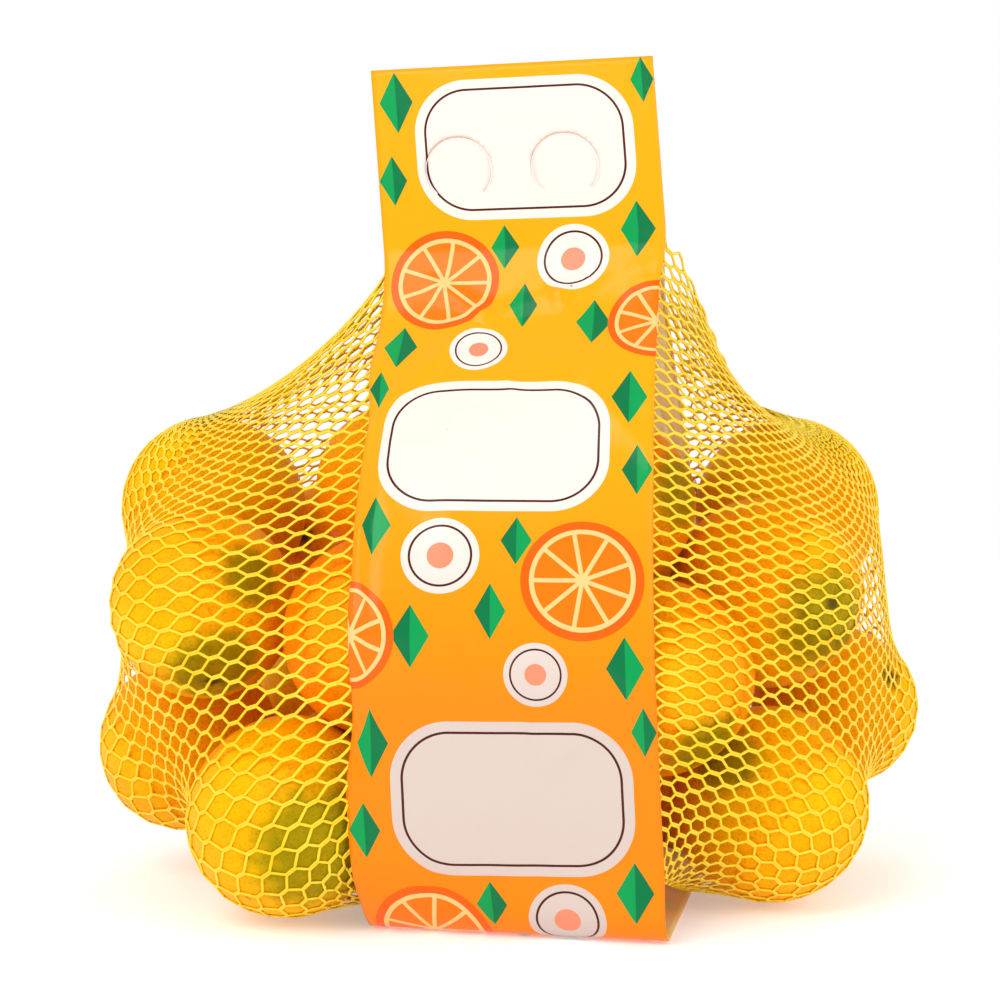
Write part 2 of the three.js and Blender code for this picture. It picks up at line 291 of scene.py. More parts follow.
def orange_peel():
    """Waxed citrus peel: thousands of oil glands about a millimetre apart dimple a soft gloss, with
    painted shade darkening their pits, and the ripe orange wanders in hue, with green where the
    fruit hung in shade and olive painted shade on some fruit's shaded sides."""
    material, tree = new_material("waxed_orange_peel")
    place = add(tree, "TexCoord", {}).outputs["Object"]
    ripeness, unripe_and_shade, stem = [add(tree, "Attribute", {}, attribute_name=name).outputs["Fac"]
                              for name in ("ripeness", "unripe_and_shade", "stem")]
    drift = add(tree, "TexNoise", {"Vector": place, "Scale": scale_of(35.7), "Detail": 3.0})
    mottle = add(tree, "TexNoise", {"Vector": place, "Scale": scale_of(5.26), "Detail": 4.0})
    hue = add(tree, "Math", {0: drift, 1: ripeness}, operation="ADD")
    ripe = add(tree, "ValToRGB", {"Fac": hue}, stops=((0.35, "#F6BA00"), (0.95, "#FF9000")))
    edge = add(tree, "Math", {0: mottle, 1: 0.9, 2: -0.45}, operation="MULTIPLY_ADD")
    reach = add(tree, "Math", {0: unripe_and_shade, 1: edge}, operation="ADD")
    inside = add(tree, "MapRange", {"Value": reach, "From Min": 0.1, "From Max": 1.05,
                                    "To Max": 0.85}, interpolation_type="SMOOTHSTEP")
    # The olive mixed in here is unripe green on some fruit and painted shade on the shaded sides of
    # others.
    green = add(tree, "Mix", {"Factor": inside, "A": ripe, "B": colour("#7E7C00")},
                data_type="RGBA")
    glands = add(tree, "TexVoronoi", {"Vector": place, "Scale": scale_of(1.25),
                                      "Randomness": 0.85}, feature="SMOOTH_F1")
    pit = add(tree, "MapRange", {"Value": glands, "From Min": 0.05, "From Max": 0.45},
              interpolation_type="SMOOTHSTEP")
    # Painted shade: the glands' pits are darkened in the base colour, and the peel between them is
    # lifted a touch.
    shade = add(tree, "MapRange", {"Value": pit, "To Min": 0.86, "To Max": 1.03})
    pit_shaded = add(tree, "Mix", {"Factor": 1.0, "A": green.outputs["Result"], "B": shade},
                  data_type="RGBA", blend_type="MULTIPLY")
    scars = add(tree, "TexNoise", {"Vector": place, "Scale": scale_of(8.33), "Detail": 2.0,
                                   "Roughness": 0.7})
    scarred = add(tree, "MapRange", {"Value": scars, "From Min": 0.70, "From Max": 0.76,
                                     "To Max": 0.55})
    worn = add(tree, "Mix", {"Factor": scarred, "A": pit_shaded.outputs["Result"],
                             "B": colour("#9A5A14")}, data_type="RGBA")
    capped = add(tree, "Mix", {"Factor": stem, "A": worn.outputs["Result"],
                               "B": colour("#44380E")}, data_type="RGBA")
    bump = add(tree, "Bump", {"Height": pit, "Distance": 0.22 * MM, "Strength": 0.8})
    finish_material(tree, {
        "Base Color": capped.outputs["Result"], "Normal": bump, "Roughness": 0.4,
        "IOR": 1.45, "Specular IOR Level": 0.05,
        "Subsurface Weight": 0.12, "Subsurface Radius": (0.004, 0.0016, 0.0005),
        "Subsurface Scale": 1.0,
    })
    return material


def knitted_polythene():
    """Extruded and knitted yellow polythene yarn: satin, a little waxy, and paler in places. Its
    chain stitch is too fine to show, so it is drawn coarser, as a ripple along each yarn."""
    material, tree = new_material("knitted_yellow_polythene")
    along = add(tree, "Attribute", {}, attribute_name="along").outputs["Fac"]
    place = add(tree, "TexCoord", {}).outputs["Object"]
    ripple = add(tree, "Math", {0: along, 1: 2 * math.pi / STITCH}, operation="MULTIPLY")
    stitch = add(tree, "Math", {0: ripple}, operation="SINE")
    drift = add(tree, "TexNoise", {"Vector": place, "Scale": scale_of(16.67), "Detail": 2.0})
    tone = add(tree, "ValToRGB", {"Fac": drift}, stops=((0.3, "#FFCC10"), (0.7, "#FFDA3A")))
    bump = add(tree, "Bump", {"Height": stitch, "Distance": 0.05 * MM, "Strength": 0.5})
    finish_material(tree, {
        "Base Color": tone, "Normal": bump, "Roughness": 0.38,
        "IOR": 1.51, "Specular IOR Level": 0.2, "Subsurface Weight": 0.35,
        "Subsurface Radius": (0.001, 0.001, 0.001), "Subsurface Scale": 1.0,
    })
    return material


# ---- the band's print, in millimetres across and down the film ----
REPEAT = 118.0  # the print roller's repeat
PANEL = (3.0, 30.0, 38.0, 25.0, 19.0)  # across, down, half width, half height, corner
WHEELS = [(-27.0, 78.0, 19.5), (49.0, 96.0, 17.0)]  # across, down, radius of a citrus slice
RINGS = [(18.0, 70.0, 12.5), (-12.0, 108.0, 10.0)]
RING_INKS = (1, 0.82, 0.76, 0.34)  # radii of the cream disc, brown line, cream and pink middle
PANEL_LINE = (3.2, 4.0)  # from a panel's edge to the outside and inside of its brown line
PITH = 0.86  # radii of a slice's pith and flesh, as shares of the rind's
FLESH = 0.78
SEGMENTS = 9
SEGMENT_GAP = 0.7  # half the pith between two segments
GROUND_FADE = 260.0  # the ground deepens over this length down the film
CREAM_PAINTED_SHADE = (175.0, 240.0)  # painted shade: the cream greys between these depths, darker towards the foot where the film gets less light
DIAMONDS = [  # across, down, half width, half height
    (-41, 12, 6, 11), (-44, 40, 5, 9), (-6, 65, 5, 8), (40, 60, 6, 10), (2, 88, 5, 9),
    (27, 96, 6, 10), (-40, 106, 6, 10), (45, 8, 4, 8),
]


def printed_film(length):
    """Gravure-printed polyolefin film: flat inks under a hard gloss, cream, orange, green and brown
    shapes on a ground that runs from amber at both ends of the band to orange at its foot. The cream
    is greyed towards the foot as painted shade."""
    material, tree = new_material("gravure_printed_film")
    place = add(tree, "UVMap", {}, uv_map="print").outputs["UV"]
    flat = add(tree, "VectorMath", {0: place, 1: (1 / MM, 1 / MM, 0)}, operation="MULTIPLY")
    split = add(tree, "SeparateXYZ", {0: flat})
    across, down = split.outputs["X"], split.outputs["Y"]
    turn = add(tree, "Math", {0: down, 1: REPEAT}, operation="DIVIDE")
    number = add(tree, "Math", {0: turn}, operation="FLOOR")
    odd = add(tree, "Math", {0: number, 1: 2.0}, operation="FLOORED_MODULO")
    mirror = add(tree, "Math", {0: odd, 1: -2.0, 2: 1.0}, operation="MULTIPLY_ADD")
    side = add(tree, "Math", {0: across, 1: mirror}, operation="MULTIPLY")
    step = add(tree, "Math", {0: down, 1: REPEAT}, operation="FLOORED_MODULO")
    spot = add(tree, "CombineXYZ", {"X": side, "Y": step})

    depth = add(tree, "Math", {0: down, 1: length / 2}, operation="PINGPONG")
    ground = add(tree, "MapRange", {"Value": depth, "From Min": 0.0, "From Max": GROUND_FADE})
    ink = add(tree, "ValToRGB", {"Fac": ground}, stops=((0.55, "#FFA300"), (0.92, "#FF8200")))
    # Painted shade: the cream ink greys towards the foot of the band.
    foot = add(tree, "MapRange", {"Value": depth, "From Min": CREAM_PAINTED_SHADE[0],
                                  "From Max": CREAM_PAINTED_SHADE[1]})
    cream = add(tree, "ValToRGB", {"Fac": foot}, stops=((0, "#E9DDD2"), (1, "#CEBDB5")))

    def lay(below, mask, tint):
        """One ink, a hex code or a node, laid over the last where the mask is 1."""
        tint = colour(tint) if isinstance(tint, str) else tint
        return add(tree, "Mix", {"Factor": mask, "A": below, "B": tint},
                   data_type="RGBA").outputs["Result"]

    def within(x, y, radius):
        """1 inside a disc and the distance from its middle."""
        away = add(tree, "VectorMath", {0: spot, 1: (x, y, 0)}, operation="DISTANCE")
        away = away.outputs["Value"]
        return add(tree, "Math", {0: away, 1: radius}, operation="LESS_THAN"), away

    for x, y, half_width, half_height in DIAMONDS:
        off = add(tree, "VectorMath", {0: spot, 1: (x, y, 0)}, operation="SUBTRACT")
        scaled = add(tree, "VectorMath", {0: off, 1: (half_width, half_height, 1)},
                     operation="DIVIDE")
        bare = add(tree, "VectorMath", {0: scaled}, operation="ABSOLUTE")
        total = add(tree, "VectorMath", {0: bare, 1: (1, 1, 0)}, operation="DOT_PRODUCT")
        mask = add(tree, "Math", {0: total.outputs["Value"], 1: 1.0}, operation="LESS_THAN")
        ink = lay(ink, mask, "#00964C")
        half = add(tree, "SeparateXYZ", {0: off})
        dark = add(tree, "Math", {0: half.outputs["X"], 1: 0.0}, operation="GREATER_THAN")
        both = add(tree, "Math", {0: mask, 1: dark}, operation="MULTIPLY")
        ink = lay(ink, both, "#00713F")

    for x, y, radius in WHEELS:
        rind, away = within(x, y, radius)
        ink = lay(ink, rind, "#FF5E00")
        pith, _ = within(x, y, radius * PITH)
        ink = lay(ink, pith, "#FFC47C")
        off = add(tree, "VectorMath", {0: spot, 1: (x, y, 0)}, operation="SUBTRACT")
        part = add(tree, "SeparateXYZ", {0: off})
        angle = add(tree, "Math", {0: part.outputs["Y"], 1: part.outputs["X"]},
                    operation="ARCTAN2")
        from_spoke = add(tree, "Math", {0: angle, 1: math.pi / SEGMENTS}, operation="PINGPONG")
        gap = add(tree, "Math", {0: from_spoke, 1: away}, operation="MULTIPLY")
        wedge = add(tree, "Math", {0: gap, 1: SEGMENT_GAP}, operation="GREATER_THAN")
        core, _ = within(x, y, radius * FLESH)
        flesh = add(tree, "Math", {0: wedge, 1: core}, operation="MULTIPLY")
        ink = lay(ink, flesh, "#FF7400")

    for x, y, radius in RINGS:
        for size, tint in zip(RING_INKS, (cream, "#4A1A10", cream, "#E88A68")):
            disc, _ = within(x, y, radius * size)
            ink = lay(ink, disc, tint)

    x, y, half_width, half_height, corner = PANEL
    for inwards, tint in zip((0, *PANEL_LINE), (cream, "#4A1A10", cream)):
        off = add(tree, "VectorMath", {0: spot, 1: (x, y, 0)}, operation="SUBTRACT")
        bare = add(tree, "VectorMath", {0: off}, operation="ABSOLUTE")
        straight = (half_width - corner, half_height - corner, 0)
        past = add(tree, "VectorMath", {0: bare, 1: straight}, operation="SUBTRACT")
        beyond = add(tree, "VectorMath", {0: past, 1: (0, 0, 0)}, operation="MAXIMUM")
        away = add(tree, "VectorMath", {0: beyond}, operation="LENGTH")
        mask = add(tree, "Math", {0: away.outputs["Value"], 1: corner - inwards},
                   operation="LESS_THAN")
        ink = lay(ink, mask, tint)

    scuff = add(tree, "TexNoise", {"Vector": place, "Scale": scale_of(11.1), "Detail": 6.0,
                                   "Roughness": 0.65})
    dull = add(tree, "MapRange", {"Value": scuff, "From Min": 0.35, "From Max": 0.75,
                                  "To Min": 0.14, "To Max": 0.30})
    bump = add(tree, "Bump", {"Height": scuff, "Distance": 0.35 * MM, "Strength": 0.5})
    finish_material(tree, {
        "Base Color": ink, "Normal": bump, "Roughness": dull,
        "IOR": 1.5, "Specular IOR Level": 0.17,
    })
    return material


def film_inside():
    """The film's unprinted side: the inks show through as a pale, milky peach."""
    material, tree = new_material("film_unprinted_side")
    place = add(tree, "UVMap", {}, uv_map="print").outputs["UV"]
    haze = add(tree, "TexNoise", {"Vector": place, "Scale": scale_of(33.3), "Detail": 4.0})
    tone = add(tree, "ValToRGB", {"Fac": haze}, stops=((0.35, "#FFC274"), (0.65, "#FFD292")))
    finish_material(tree, {
        "Base Color": tone, "Roughness": 0.35, "IOR": 1.5,
        "Subsurface Weight": 0.9, "Subsurface Radius": (0.0014, 0.0014, 0.0014),
        "Subsurface Scale": 1.0,
    })
    return material


def studio_table():
    """A shooting table of opal acrylic, lit a little from below so that it stays white."""
    material, tree = new_material("opal_acrylic_table")
    place = add(tree, "TexCoord", {}).outputs["Object"]
    grain = add(tree, "TexNoise", {"Vector": place, "Scale": scale_of(2.5), "Detail": 2.0})
    tone = add(tree, "MapRange", {"Value": grain, "To Min": 0.88, "To Max": 0.92})
    finish_material(tree, {
        "Base Color": tone, "Roughness": 0.8, "Specular IOR Level": 0.1,
        "Emission Color": (1, 1, 1, 1), "Emission Strength": 0.28,
    })
    return material


# ---------------------------------------------------------------- mesh helpers
def make_piece(name, points, faces, materials, smooth=True):
    """A mesh object from points in millimetres."""
    mesh = bpy.data.meshes.new(name)
    mesh.from_pydata((np.asarray(points) * MM).tolist(), [], faces)
    for material in materials:
        mesh.materials.append(material)
    mesh.polygons.foreach_set("use_smooth", [smooth] * len(mesh.polygons))
    mesh.update()
    piece = bpy.data.objects.new(name, mesh)
    bpy.context.scene.collection.objects.link(piece)
    return piece


def set_attribute(piece, name, values):
    """One number for each point of a piece."""
    attribute = piece.data.attributes.new(name, "FLOAT", "POINT")
    attribute.data.foreach_set("value", np.asarray(values, np.float32))


def set_uv(piece, name, corners):
    """A UV map from one pair of numbers for each face corner."""
    layer = piece.data.uv_layers.new(name=name)
    layer.uv.foreach_set("vector", np.asarray(corners, np.float32).ravel())


def corner_points(piece):
    """The point that each face corner uses."""
    index = np.zeros(len(piece.data.loops), np.int64)
    piece.data.loops.foreach_get("vertex_index", index)
    return index


def unit(vectors):
    """Vectors brought to length 1."""
    return vectors / np.maximum(np.linalg.norm(vectors, axis=-1, keepdims=True), 1e-9)


def smoothstep(values, low, high):
    """0 below low, 1 above high and smooth between."""
    share = np.clip((np.asarray(values, float) - low) / (high - low), 0, 1)
    return share * share * (3 - 2 * share)


def run_along(line):
    """How far along a line each of its points lies."""
    return np.concatenate([[0], np.cumsum(np.linalg.norm(np.diff(line, axis=0), axis=1))])


def bend(share, start, leave, end, arrive):
    """Points at a share of the smooth curve that leaves one point and arrives at the next."""
    return ((2 * share ** 3 - 3 * share ** 2 + 1) * start
            + (share ** 3 - 2 * share ** 2 + share) * leave
            + (3 * share ** 2 - 2 * share ** 3) * end
            + (share ** 3 - share ** 2) * arrive)


def far_side(orange, room, origin, direction):
    """Whether a line meets the ball round a fruit, how far along it is nearest to the fruit's
    middle, and how far along it leaves the ball."""
    apart = orange.centre - origin
    along = (apart * direction).sum(-1)
    inside = (orange.long + room) ** 2 - ((apart ** 2).sum(-1) - along ** 2)
    return inside > 0, along, along + np.sqrt(np.maximum(inside, 0))


def inset(share, margin):
    """A share of a baking sheet or strip, kept clear of both its ends."""
    return margin + (1 - 2 * margin) * share


# ---------------------------------------------------------------- fruit
def settle(shown, hidden):
    """Lets the hidden fruit sink and pushes it clear of its neighbours. The rest doesn't move."""
    centres = [np.array(orange[:3], float) for orange in shown + hidden]
    radii = [orange[3] for orange in shown + hidden]
    first = len(shown)
    for step in range(SETTLE_STEPS):
        drop = SETTLE_DROP * (1 - step / SETTLE_STEPS)
        for centre in centres[first:]:
            centre[2] -= drop
        for i in range(len(centres)):
            for j in range(max(i + 1, first), len(centres)):
                apart = centres[j] - centres[i]
                length = math.sqrt(apart @ apart)
                overlap = radii[i] + radii[j] - length
                if overlap <= 0:
                    continue
                share = 0 if i < first else 0.5
                push = apart * (overlap / length)
                centres[i] -= push * share
                centres[j] += push * (1 - share)
        for centre, radius in zip(centres[first:], radii[first:]):
            centre[2] = max(centre[2], radius + FLOOR_ROOM)
    return centres, radii


def viewer_direction(parts):
    """A direction given across, up and towards the viewer, in the bag's frame."""
    across, up, towards = parts
    return unit(across * ACROSS + up * UP + towards * TOWARDS)


class Orange:
    """One fruit: where it lies, how it is turned and how far its peel is from its middle."""

    def __init__(self, number, centre, radius):
        self.centre = centre
        self.radius = radius
        turn = rng.normal(size=3)
        self.stem = viewer_direction(STEM_ENDS[number]) if number in STEM_ENDS else unit(turn)
        self.waves = [(unit(rng.normal(size=3)), rng.uniform(*WAVE_TURNS), rng.uniform(0, 6.28))
                      for _ in range(WAVES)]
        self.ripeness = rng.uniform(*RIPENESS_RANGE)
        if number < len(RIPENESS):
            self.ripeness = RIPENESS[number]
        self.patches = [(viewer_direction(direction), math.radians(width))
                        for direction, width in UNRIPE_AND_SHADE_PATCHES.get(number, [])]
        stretch = STRETCH + rng.uniform(-STRETCH_SPREAD, STRETCH_SPREAD)
        self.long = radius * stretch ** (2 / 3)
        self.wide = radius * stretch ** (-1 / 3)

    def peel(self, directions):
        """The distance from the middle to the peel in each direction."""
        along = directions @ self.stem
        across = 1 - along ** 2
        oval = 1 / np.sqrt(along ** 2 / self.long ** 2 + across / self.wide ** 2)
        uneven = sum(np.sin(directions @ axis * turns + phase)
                     for axis, turns, phase in self.waves)
        away = np.degrees(np.arccos(np.clip(along, -1, 1)))
        dimple = STEM_DIMPLE[0] * np.exp(-(away / STEM_DIMPLE[1]) ** 2)
        dimple += FLOWER_DIMPLE[0] * np.exp(-((180 - away) / FLOWER_DIMPLE[1]) ** 2)
        return oval * (1 + WAVE_HEIGHT * uneven) - dimple


def ball_faces():
    """Faces of a ball of rings, from the point at its stem end to the point at the other."""
    last = 1 + (ORANGE_RINGS - 1) * ORANGE_SEGMENTS
    faces = []
    for i in range(ORANGE_RINGS):
        for j in range(ORANGE_SEGMENTS):
            k = (j + 1) % ORANGE_SEGMENTS
            upper = [1 + (i - 1) * ORANGE_SEGMENTS + n for n in (j, k)]
            lower = [1 + i * ORANGE_SEGMENTS + n for n in (j, k)]
            if i == 0:
                faces.append((0, lower[0], lower[1]))
            elif i == ORANGE_RINGS - 1:
                faces.append((upper[0], last, upper[1]))
            else:
                faces.append((upper[0], lower[0], lower[1], upper[1]))
    return faces


def lay_out_ball(piece, from_stem, turn):
    """A ball's baking sheet: once round across, and from the stem end down."""
    corners = corner_points(piece)
    sizes = [face.loop_total for face in piece.data.polygons]
    column = np.repeat(np.arange(len(sizes)), sizes) % ORANGE_SEGMENTS
    u = turn[corners] / (2 * np.pi)
    u = np.where((column == ORANGE_SEGMENTS - 1) & (u < 0.5), u + 1, u)
    pole = (corners == 0) | (corners == len(turn) - 1)
    u = np.where(pole, (column + 0.5) / ORANGE_SEGMENTS, u)
    v = 1 - from_stem[corners] / np.pi
    set_uv(piece, "OFBake", inset(np.stack([u, v], axis=1), SHEET_MARGIN))


def make_orange(number, orange, material):
    """One fruit as a fine ball of rings round its own axis, closer together at the stem."""
    side = unit(np.cross(orange.stem, OFF_AXIS))
    other = np.cross(orange.stem, side)
    share = np.linspace(0, 1, ORANGE_RINGS + 1)
    gather, sharpness = RING_GATHER
    away = np.pi * (gather * share ** sharpness + (1 - gather) * share)
    around = np.linspace(0, 2 * np.pi, ORANGE_SEGMENTS, endpoint=False)
    grid = (np.cos(away)[:, None, None] * orange.stem
            + np.sin(away)[:, None, None] * (np.cos(around)[None, :, None] * side
                                             + np.sin(around)[None, :, None] * other))
    rings = grid[1:-1].reshape(-1, 3)
    directions = np.vstack([orange.stem[None], rings, -orange.stem[None]])
    height = orange.peel(directions)
    from_stem = np.concatenate([[0], np.repeat(away[1:-1], ORANGE_SEGMENTS), [np.pi]])
    turn = np.concatenate([[0], np.tile(around, ORANGE_RINGS - 1), [0]])
    out = np.where(from_stem < np.pi / 2, np.sin(from_stem) * orange.radius, np.inf)
    star = STEM_CAP * (1 + STAR_DEPTH * np.cos(STAR_POINTS * turn))
    cap = 1 - smoothstep(out, star * STAR_EDGE[0], star * STAR_EDGE[1])
    scar = 1 - smoothstep(out, *STALK_SCAR[1:])
    height = height + STAR_HEIGHT * cap - STALK_SCAR[0] * scar
    points = orange.centre + directions * height[:, None]

    piece = make_piece(f"orange_{number + 1:02d}", points, ball_faces(), [material])
    set_attribute(piece, "ripeness", np.full(len(points), orange.ripeness))
    # Olive patches: painted shade on some fruit's shaded sides and unripe green on others, with the
    # real green round the stem added below.
    unripe_and_shade = np.zeros(len(points))
    for direction, width in orange.patches:
        angle = np.arccos(np.clip(directions @ direction, -1, 1))
        fade = smoothstep(angle, width * PATCH_EDGE[0], width * PATCH_EDGE[1])
        unripe_and_shade = np.maximum(unripe_and_shade, 1 - fade)
    unripe_and_shade = np.maximum(unripe_and_shade, STEM_SHADE[0] * (1 - smoothstep(out, *STEM_SHADE[1:])))
    set_attribute(piece, "unripe_and_shade", unripe_and_shade)
    set_attribute(piece, "stem", cap * STAR_DARKNESS)
    lay_out_ball(piece, from_stem, turn)
    return piece


# ---------------------------------------------------------------- film
def smooth_line(knots, spacing):
    """Points at an even spacing along a smooth curve, a centripetal spline through the knots."""
    knots = np.asarray(knots, float)
    ends = np.vstack([2 * knots[0] - knots[1], knots, 2 * knots[-1] - knots[-2]])
    pieces = []
    for before, start, end, after in zip(ends, ends[1:], ends[2:], ends[3:]):
        steps = [np.linalg.norm(b - a) ** 0.5
                 for a, b in ((before, start), (start, end), (end, after))]
        leave = ((start - before) / steps[0] - (end - before) / (steps[0] + steps[1])
                 + (end - start) / steps[1]) * steps[1]
        arrive = ((end - start) / steps[1] - (after - start) / (steps[1] + steps[2])
                  + (after - end) / steps[2]) * steps[1]
        share = np.linspace(0, 1, LINE_STEPS, endpoint=False)[:, None]
        pieces.append(bend(share, start, leave, end, arrive))
    line = np.vstack([*pieces, knots[-1:]])
    run = run_along(line)
    count = max(2, round(run[-1] / spacing))
    even = np.linspace(0, run[-1], count + 1)
    return np.stack([np.interp(even, run, line[:, n]) for n in range(line.shape[1])], axis=1)


def band_path():
    """y, z points from the header's top down the front, under the load and up the back, and the
    number of rows in the header."""
    front, back = HEADER_Y - LAYER_GAP, HEADER_Y + LAYER_GAP
    head = np.linspace(BAG_HEIGHT, HEADER_FOOT, round((BAG_HEIGHT - HEADER_FOOT) / FILM_GRID) + 1)
    loop = smooth_line([(front, HEADER_FOOT), *BAND_PROFILE, (back, HEADER_FOOT)], FILM_GRID)
    rows = len(head) - 1
    path = np.vstack([np.stack([np.full(rows, front), head[:-1]], axis=1), loop,
                      np.stack([np.full(rows, back), head[:-1][::-1]], axis=1)])
    path[:, 1] = np.maximum(path[:, 1], FILM_FLOOR)
    return path, rows


def lean(z):
    """x of the band's middle at a height."""
    return FILM_FOOT_X - FILM_LEAN * z


def between(z, heights):
    """1 between the middle two heights, 0 outside the outer two and smooth from one to the other."""
    begins, full, fades, gone = heights
    return smoothstep(z, begins, full) * (1 - smoothstep(z, fades, gone))


def bulge(grid, normals, oranges, free):
    """How far the fruit behind pushes the film out, which spans from one fruit to the next."""
    needed = np.zeros(grid.shape[:2])
    for orange in oranges:
        met, _, out = far_side(orange, FILM_ROOM, grid, normals)
        needed = np.where(met, np.maximum(needed, out), needed)
    needed = np.where(needed > FILM_REACH, 0, needed) * free[:, None]
    out = needed.copy()
    for _ in range(BRIDGE_STEPS):
        padded = np.pad(out, 1, mode="edge")
        spread = (padded[:-2, 1:-1] + padded[2:, 1:-1] + padded[1:-1, :-2]
                  + padded[1:-1, 2:]) / 4
        out = np.maximum(needed, spread * BRIDGE_HOLD) * np.minimum(free[:, None] * BRIDGE_FREE, 1)
    return out


def crumples(across, run):
    """The height of the film's soft folds, fine ripples and sharp creases."""
    height = np.zeros((len(run), len(across)))
    for i, down in enumerate(run):
        for j, x in enumerate(across):
            here = Vector((x * CRUMPLE_FOLD[0], down * CRUMPLE_FOLD[1], CRUMPLE_LAYERS[0]))
            warp = Vector((*CRUMPLE_WARP, 0)) * noise.noise(here * 2)
            fold = 1 - 2 * abs(noise.noise(here + warp))
            there = Vector((x * CRUMPLE_RIPPLE[0], down * CRUMPLE_RIPPLE[1], CRUMPLE_LAYERS[1]))
            ripple = noise.noise(there)
            height[i, j] = CRUMPLE_FOLD[2] * max(fold, 0) ** 3 + CRUMPLE_RIPPLE[2] * ripple
    spots = np.stack(np.broadcast_arrays(across[None], run[:, None]), axis=-1)
    for x0, down0, x1, down1, ridge in FILM_CREASES:
        start, span = np.array([x0, down0]), np.array([x1 - x0, down1 - down0])
        share = np.clip(((spots - start) @ span) / (span @ span), 0, 1)
        away = np.linalg.norm(spots - start - share[..., None] * span, axis=-1)
        height += ridge * np.maximum(1 - away / CREASE_WIDTH, 0)
    return height


def film_surface(oranges):
    """The band as a grid of points with rows along it and columns across it, the columns' places
    across, how far along the band each row lies, and the number of rows in the header."""
    path, header_rows = band_path()
    run = run_along(path)
    columns = 2 * round(FILM_WIDTH / FILM_GRID / 2) + 1
    across = np.linspace(-FILM_WIDTH / 2, FILM_WIDTH / 2, columns)
    y, z = path[:, 0], path[:, 1]
    number = np.arange(len(path))
    front = number < len(path) // 2
    head = smoothstep(z, *HEADER_BLEND)
    twist = FRONT_TWIST * between(z, TWIST_HEIGHTS) * front
    grid = np.zeros((len(path), columns, 3))
    grid[..., 0] = (lean(z) + HEADER_LEAN * head * (HEADER_PIVOT - z))[:, None]
    grid[..., 0] += (1 + HEADER_FLARE * head)[:, None] * across[None]
    grid[..., 1] = y[:, None] + twist[:, None] * across[None]
    grid[..., 2] = z[:, None]
    normals = grid_normals(grid)

    free = smoothstep(number, header_rows, header_rows + FREE_ROWS)
    free = free * free[::-1] * smoothstep(z, *FOOT_BLEND)
    loose = CRUMPLE_HELD + (1 - CRUMPLE_HELD) * free
    out = bulge(grid, normals, oranges, free) + crumples(across, run) * loose[:, None]
    grid += normals * out[..., None]
    rolled = smoothstep(-across, FILM_WIDTH / 2 - ROLL_WIDTH, FILM_WIDTH / 2)[None] ** ROLL_CURVE
    rolled = rolled * (front * between(z, ROLL_HEIGHTS))[:, None]
    grid[..., 0] += EDGE_ROLL[0] * rolled
    grid[..., 1] += EDGE_ROLL[1] * rolled
    push_out(grid, oranges, FILM_ROOM)
    return grid, across, run, header_rows


def grid_normals(grid):
    """Unit normals of the band's grid, away from the load."""
    along = np.gradient(grid, axis=0)
    across = np.gradient(grid, axis=1)
    return unit(np.cross(along, across))


def header_cut(across, depths):
    """The header's flat pattern as points and triangles, with the two C-shaped slits left out,
    and the flaps' middles."""
    middle = BAG_HEIGHT - FLAP_HEIGHT
    centres = [(FLAP_SHIFT - FLAP_SPACING / 2, middle), (FLAP_SHIFT + FLAP_SPACING / 2, middle)]
    points = []
    for depth in depths:
        for x in across:
            near = min(abs(math.hypot(x - cx, depth - cy) - FLAP_RADIUS) for cx, cy in centres)
            edge = depth in (depths[0], depths[-1]) or x in (across[0], across[-1])
            if near > SLIT_CLEAR or edge:
                points.append((x, depth))
    edges = []
    for cx, cy in centres:
        first = len(points)
        angles = np.linspace(-FLAP_ARC / 2, FLAP_ARC / 2, SLIT_POINTS)
        for radius, sweep in ((FLAP_RADIUS + SLIT_WIDTH / 2, angles),
                              (FLAP_RADIUS - SLIT_WIDTH / 2, angles[::-1])):
            for angle in sweep:
                points.append((cx + radius * math.sin(angle), cy - radius * math.cos(angle)))
        count = len(points) - first
        edges += [(first + n, first + (n + 1) % count) for n in range(count)]
    cut = delaunay_2d_cdt([Vector(point) for point in points], edges, [], 0, CUT_TOLERANCE)
    flat = np.array([tuple(point) for point in cut[0]])
    kept = []
    for face in cut[2]:
        x, y = flat[list(face)].mean(axis=0)
        slit = False
        for cx, cy in centres:
            ring = abs(math.hypot(x - cx, y - cy) - FLAP_RADIUS) < SLIT_WIDTH / 2
            slit = slit or (ring and abs(math.atan2(x - cx, cy - y)) < FLAP_ARC / 2)
        if not slit:
            kept.append(tuple(face))
    return flat, kept, centres


def lay_out_film(piece, pattern, faces, inside, total):
    """The film's two UV maps: the print in real size, and the baking sheet with the band in
    strips side by side, its printed side under its other one."""
    corners = corner_points(piece)
    set_uv(piece, "print", pattern[corners] * MM)
    face_of = np.repeat(np.arange(len(faces)), [len(face) for face in faces])
    middle = np.array([pattern[list(face)].mean(axis=0)[1] for face in faces])
    strip = np.minimum((middle / (total / STRIPS)).astype(int), STRIPS - 1)[face_of]
    u = (strip + inset(pattern[corners, 0] / FILM_WIDTH + 0.5, STRIP_MARGIN)) / STRIPS
    v = (pattern[corners, 1] - strip * total / STRIPS) / (total / STRIPS)
    v = np.where(inside[face_of], INSIDE_STRIP[0] + INSIDE_STRIP[1] * v,
                 PRINTED_STRIP[0] + PRINTED_STRIP[1] * v)
    set_uv(piece, "OFBake", np.stack([u, v], axis=1))


